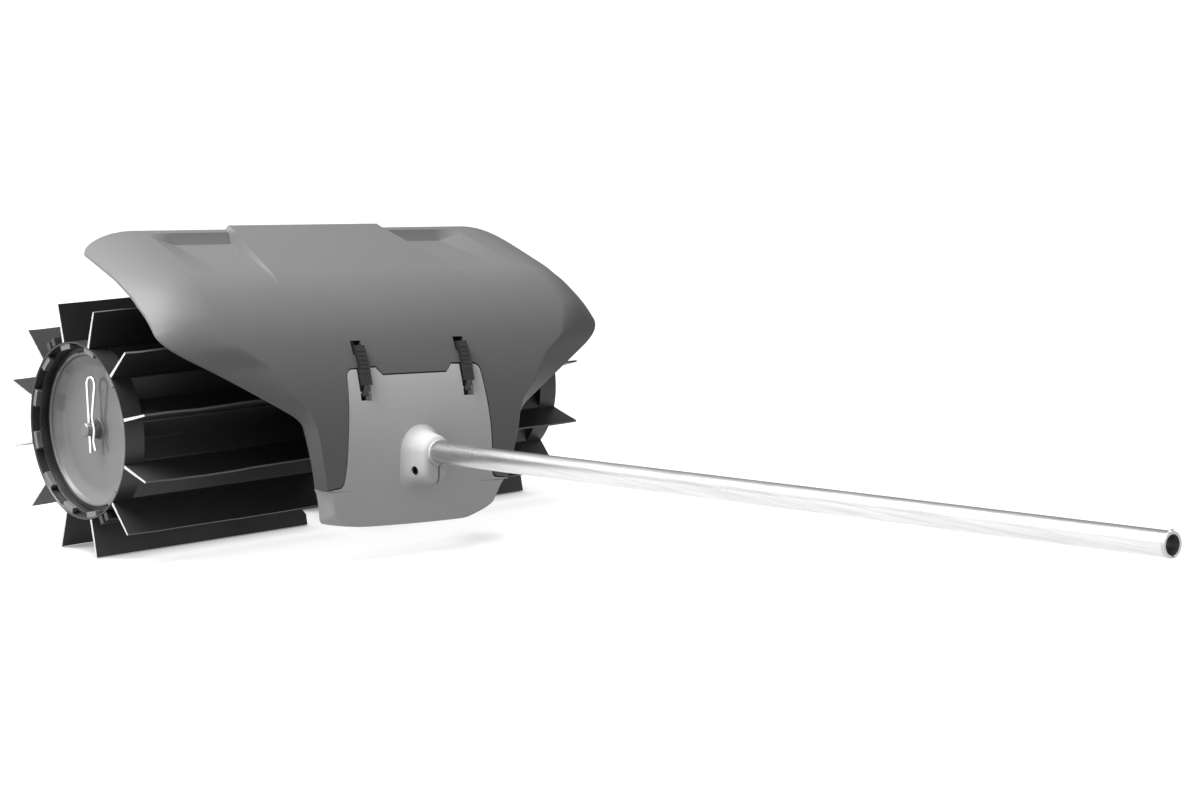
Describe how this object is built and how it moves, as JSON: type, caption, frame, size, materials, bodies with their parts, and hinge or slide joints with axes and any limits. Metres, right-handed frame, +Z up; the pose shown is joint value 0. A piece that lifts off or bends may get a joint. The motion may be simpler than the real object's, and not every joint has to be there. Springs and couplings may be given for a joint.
{
  "type": "power brush sweeper",
  "caption": "Sweeping tool for a tube-coupled power head: two rubber-flap drums on one worm-driven axle under a moulded hood with a clamped front plate and hook latches.",
  "frame": {"origin": "centre of the tube's free end, on the tube's axis", "axes": "+X along the drum axle to the right seen from the operator, +Y from the free end towards the drums, +Z up, with the flap tips on level ground"},
  "size_m": [0.6109, 1.4075, 0.3477],
  "materials": {
    "tube_aluminium": "drawn, polished",
    "end_ring_steel": "pressed, dull",
    "bush_plastic": "moulded",
    "gearbox_casting": "cast, tumbled",
    "screw_steel": "zinc plated",
    "bearing_steel": "ground",
    "ball_steel": "polished",
    "seal_rubber": "matte",
    "plate_plastic": "satin, finely grained",
    "clamp_steel": "black oxide",
    "hood_plastic": "satin, finely grained",
    "pin_steel": "drawn",
    "latch_plastic": "polished mould",
    "axle_steel": "turned",
    "wheel_bronze": "hobbed",
    "drum_plastic": "moulded",
    "flap_rubber": "matte, pale cut edges",
    "cap_plastic": "satin",
    "clip_wire": "bright wire",
    "shaft_steel": "drawn",
    "worm_steel": "ground"
  },
  "bodies": {
    "guard_and_tube": {"drive_tube": "tube_aluminium", "tube_end_ring": "end_ring_steel", "shaft_bushes": "bush_plastic", "gearbox_left": "gearbox_casting", "gearbox_right": "gearbox_casting", "gearbox_screws": "screw_steel", "grease_plug": "screw_steel", "axle_bearing_outer_rings": "bearing_steel", "axle_bearing_balls": "ball_steel", "worm_bearing_outer_rings": "bearing_steel", "worm_bearing_balls": "ball_steel", "axle_seals": "seal_rubber", "shaft_seal": "seal_rubber", "front_plate": "plate_plastic", "clamp_screw": "clamp_steel", "clamp_nut": "clamp_steel", "guard_hood": "hood_plastic", "latch_pins": "pin_steel"},
    "rotor": {"axle": "axle_steel", "worm_wheel": "wheel_bronze", "wheel_key": "pin_steel", "axle_bearing_inner_rings": "bearing_steel", "axle_spacers": "axle_steel", "hub_plate_left": "drum_plastic", "hub_plate_right": "drum_plastic", "drive_pin_left": "pin_steel", "drive_pin_right": "pin_steel", "upper_shell_left": "drum_plastic", "upper_shell_right": "drum_plastic", "lower_shell_left": "drum_plastic", "lower_shell_right": "drum_plastic", "flaps_left": "flap_rubber", "flaps_right": "flap_rubber", "end_ring_left": "cap_plastic", "end_ring_right": "cap_plastic", "end_cap_left": "cap_plastic", "end_cap_right": "cap_plastic", "r_clip_left": "clip_wire", "r_clip_right": "clip_wire"},
    "drive": {"drive_shaft": "shaft_steel", "worm": "worm_steel", "worm_bearing_inner_rings": "bearing_steel"},
    "latch_left": {"latch_left": "latch_plastic"},
    "latch_right": {"latch_right": "latch_plastic"}
  },
  "joints": [
    {"name": "rotor_spin", "type": "hinge", "parent": "guard_and_tube", "child": "rotor", "pos_m": [0, 1.26801, -0.0549], "axis": [1, 0, 0], "continuous": true},
    {"name": "drive_spin", "type": "hinge", "parent": "guard_and_tube", "child": "drive", "pos_m": [0, 0, 0], "axis": [0, 0.9973, -0.0739], "continuous": true},
    {"name": "latch_left_hinge", "type": "hinge", "parent": "guard_and_tube", "child": "latch_left", "pos_m": [-0.06676, 1.05814, -0.00795], "axis": [0.9983, -0.0043, -0.0574], "range_deg": [0, 95]},
    {"name": "latch_right_hinge", "type": "hinge", "parent": "guard_and_tube", "child": "latch_right", "pos_m": [0.0744, 1.05753, -0.01607], "axis": [0.9983, -0.0043, -0.0574], "range_deg": [0, 95]}
  ],
  "couplings": [
    {"joint": "drive_spin", "follows": "rotor_spin", "ratio": -28}
  ]
}
